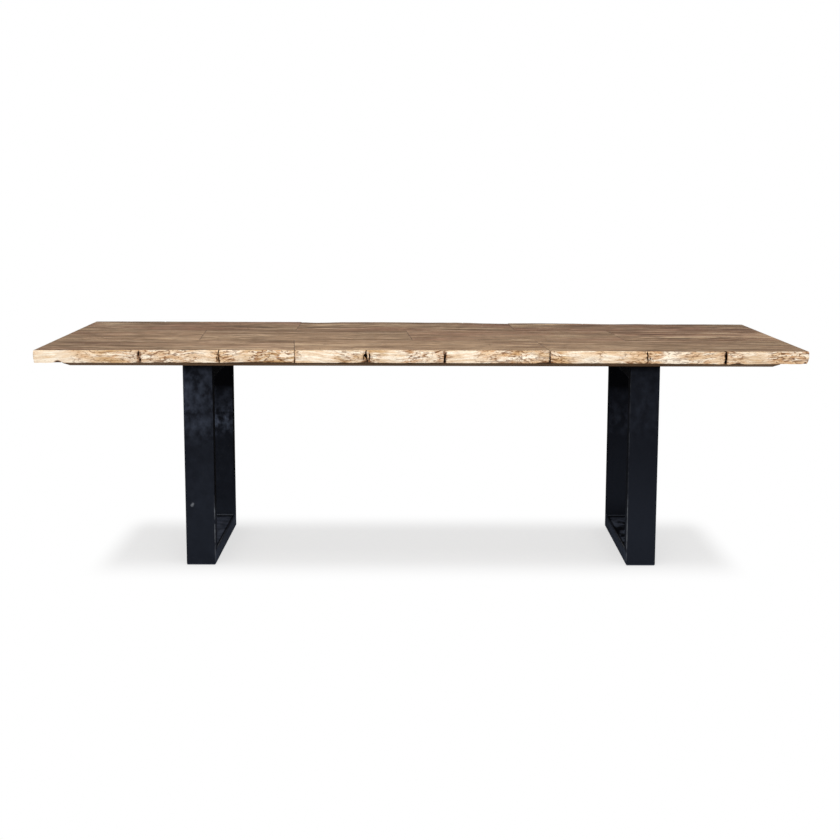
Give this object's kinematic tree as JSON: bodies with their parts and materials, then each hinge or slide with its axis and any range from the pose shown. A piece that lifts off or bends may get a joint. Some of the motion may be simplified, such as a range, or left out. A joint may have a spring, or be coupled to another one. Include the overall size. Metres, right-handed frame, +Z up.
{
  "type": "petrified wood dining table",
  "caption": "Long dining table: a slabbed top of petrified wood with rough, pale natural long edges, on wide loop legs of blackened box-section steel.",
  "frame": {"origin": "on the floor below the middle of the top", "axes": "+X along the table to the right as seen from the front, +Y to the back, +Z up"},
  "size_m": [2.4997, 0.9991, 0.76],
  "materials": {
    "petrified_wood": "honed satin top, rough natural and sawn edges",
    "joint_resin": "cured, matt",
    "adhesive": "cured, matt",
    "stained_board": "dark stain, matt",
    "blackened_steel": "mottled black, satin",
    "zinc_plated_steel": "bright zinc",
    "felt": "pressed felt"
  },
  "bodies": {
    "root": {"front_slab_left": "petrified_wood", "front_slab_middle": "petrified_wood", "front_slab_right": "petrified_wood", "middle_slab_far_left": "petrified_wood", "middle_slab_left": "petrified_wood", "middle_slab_right": "petrified_wood", "middle_slab_far_right": "petrified_wood", "back_slab_left": "petrified_wood", "back_slab_middle": "petrified_wood", "back_slab_right": "petrified_wood", "joint_resin": "joint_resin", "adhesive_bed": "adhesive", "backing_board": "stained_board", "left_leg_front_post": "blackened_steel", "left_leg_rear_post": "blackened_steel", "left_leg_top_rail": "blackened_steel", "left_leg_floor_rail": "blackened_steel", "left_leg_mounting_plate": "blackened_steel", "left_leg_plate_welds": "blackened_steel", "left_leg_bolts": "zinc_plated_steel", "left_leg_threaded_inserts": "zinc_plated_steel", "left_leg_front_floor_pad": "felt", "left_leg_rear_floor_pad": "felt", "right_leg_front_post": "blackened_steel", "right_leg_rear_post": "blackened_steel", "right_leg_top_rail": "blackened_steel", "right_leg_floor_rail": "blackened_steel", "right_leg_mounting_plate": "blackened_steel", "right_leg_plate_welds": "blackened_steel", "right_leg_bolts": "zinc_plated_steel", "right_leg_threaded_inserts": "zinc_plated_steel", "right_leg_front_floor_pad": "felt", "right_leg_rear_floor_pad": "felt"}
  },
  "joints": []
}
